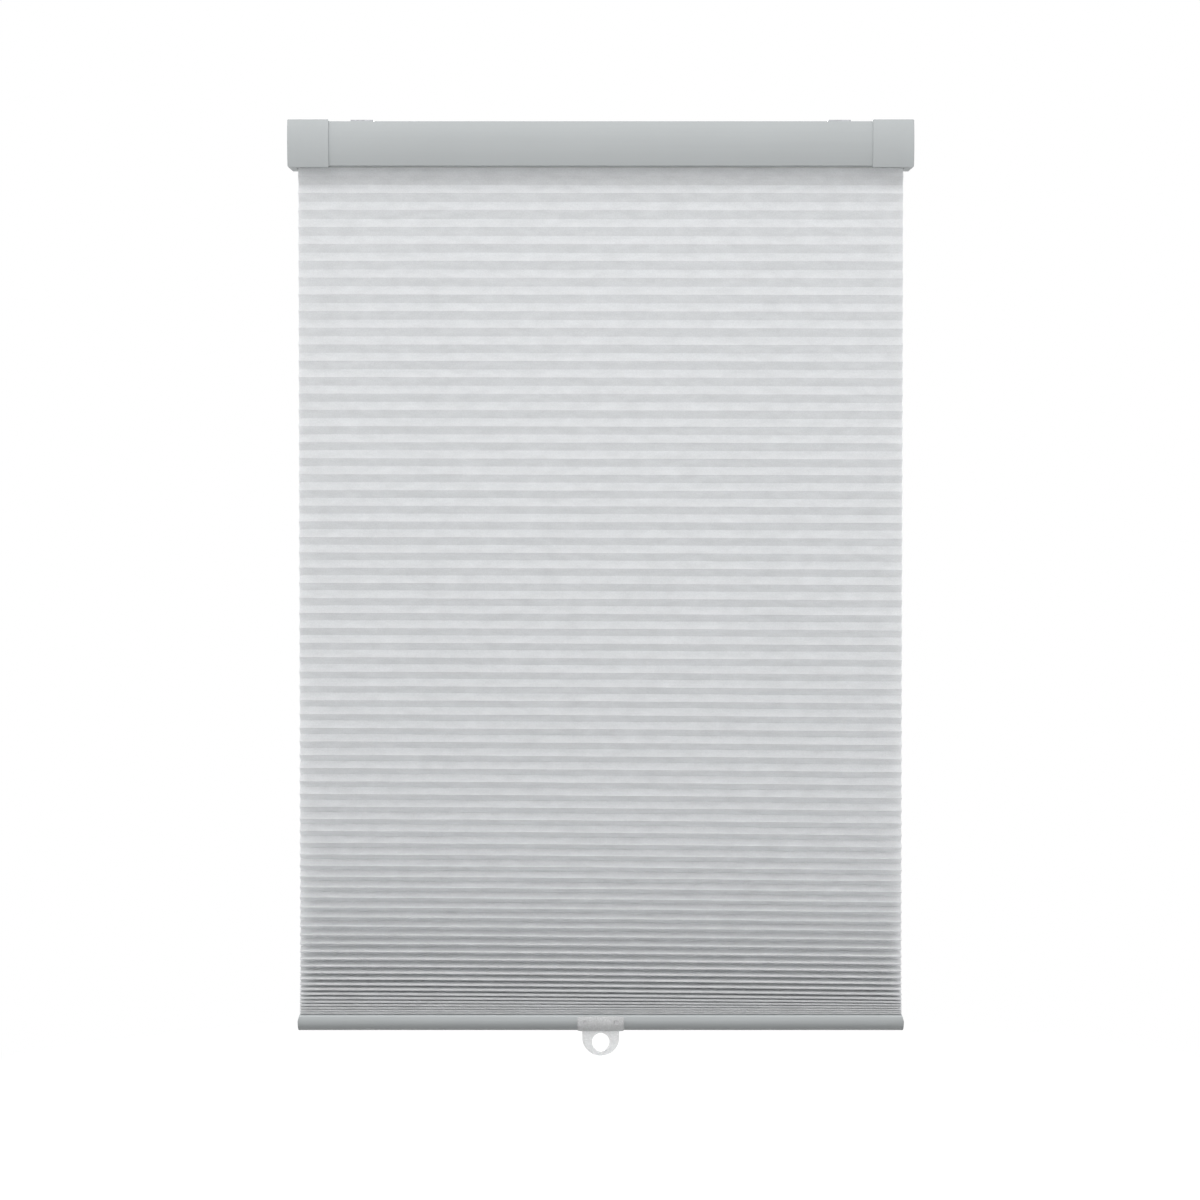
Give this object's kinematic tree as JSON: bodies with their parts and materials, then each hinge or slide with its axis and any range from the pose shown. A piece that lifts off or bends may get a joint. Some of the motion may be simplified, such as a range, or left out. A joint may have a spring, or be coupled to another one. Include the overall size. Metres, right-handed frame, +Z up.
{
  "type": "pleated blind",
  "caption": "Cordless honeycomb pleated blind: boxed headrail with spring motor, open-celled fabric and a weighted bottom rail with a clear pull handle.",
  "frame": {"origin": "centre of the bracket screw pattern, in the plane of the brackets' top faces", "axes": "+X along the headrail, -Y towards the room, +Z up towards the surface that the brackets are screwed to"},
  "size_m": [0.6858, 0.05, 1.0337],
  "materials": {
    "headrail_metal": "satin powder coat",
    "end_cap_plastic": "satin",
    "rail_metal": "satin powder coat",
    "cellular_cloth": "matte",
    "strip_plastic": "matte",
    "bracket_steel": "zinc plated",
    "rod_aluminium": "extruded",
    "spool_plastic": "satin",
    "cradle_plastic": "satin",
    "cover_plastic": "satin",
    "spring_steel": "polished",
    "lift_cord_braid": "matte",
    "clear_plastic": "gloss",
    "screw_steel": "satin"
  },
  "bodies": {
    "headrail": {"headrail_channel": "headrail_metal", "left_headrail_cap": "end_cap_plastic", "right_headrail_cap": "end_cap_plastic", "left_bracket": "bracket_steel", "right_bracket": "bracket_steel", "left_spool_cradle": "cradle_plastic", "right_spool_cradle": "cradle_plastic", "left_cord_guide": "cradle_plastic", "right_cord_guide": "cradle_plastic", "spring_motor_base": "cradle_plastic", "spring_motor_cover": "cover_plastic", "power_spring": "spring_steel", "top_fabric_strip": "strip_plastic", "cellular_fabric": "cellular_cloth", "left_lift_cord": "lift_cord_braid", "right_lift_cord": "lift_cord_braid"},
    "lift_rod": {"lift_rod": "rod_aluminium", "left_cord_spool": "spool_plastic", "right_cord_spool": "spool_plastic", "output_drum": "spool_plastic"},
    "storage_drum": {"storage_drum": "spool_plastic"},
    "bottom_rail": {"bottom_rail": "rail_metal", "left_rail_cap": "end_cap_plastic", "right_rail_cap": "end_cap_plastic", "bottom_fabric_strip": "strip_plastic", "ballast_bar": "bracket_steel", "left_cord_anchor": "cradle_plastic", "right_cord_anchor": "cradle_plastic", "pull_handle": "clear_plastic", "handle_screws": "screw_steel"}
  },
  "joints": [
    {"name": "rail_lift", "type": "slide", "parent": "headrail", "child": "bottom_rail", "axis": [0, 0, 1], "range_m": [-0.213, 0.77], "deforming": ["cellular_fabric", "left_lift_cord", "right_lift_cord"]},
    {"name": "rod_turn", "type": "hinge", "parent": "headrail", "child": "lift_rod", "pos_m": [0, 0.009, -0.032], "axis": [1, 0, 0], "range_deg": [-4905, 1362]},
    {"name": "storage_turn", "type": "hinge", "parent": "headrail", "child": "storage_drum", "pos_m": [0, -0.009, -0.032], "axis": [1, 0, 0], "range_deg": [-1362, 4905]}
  ],
  "couplings": [
    {"joint": "rod_turn", "follows": "rail_lift", "rad_per_m": -111.11},
    {"joint": "storage_turn", "follows": "rail_lift", "rad_per_m": 111.11}
  ]
}
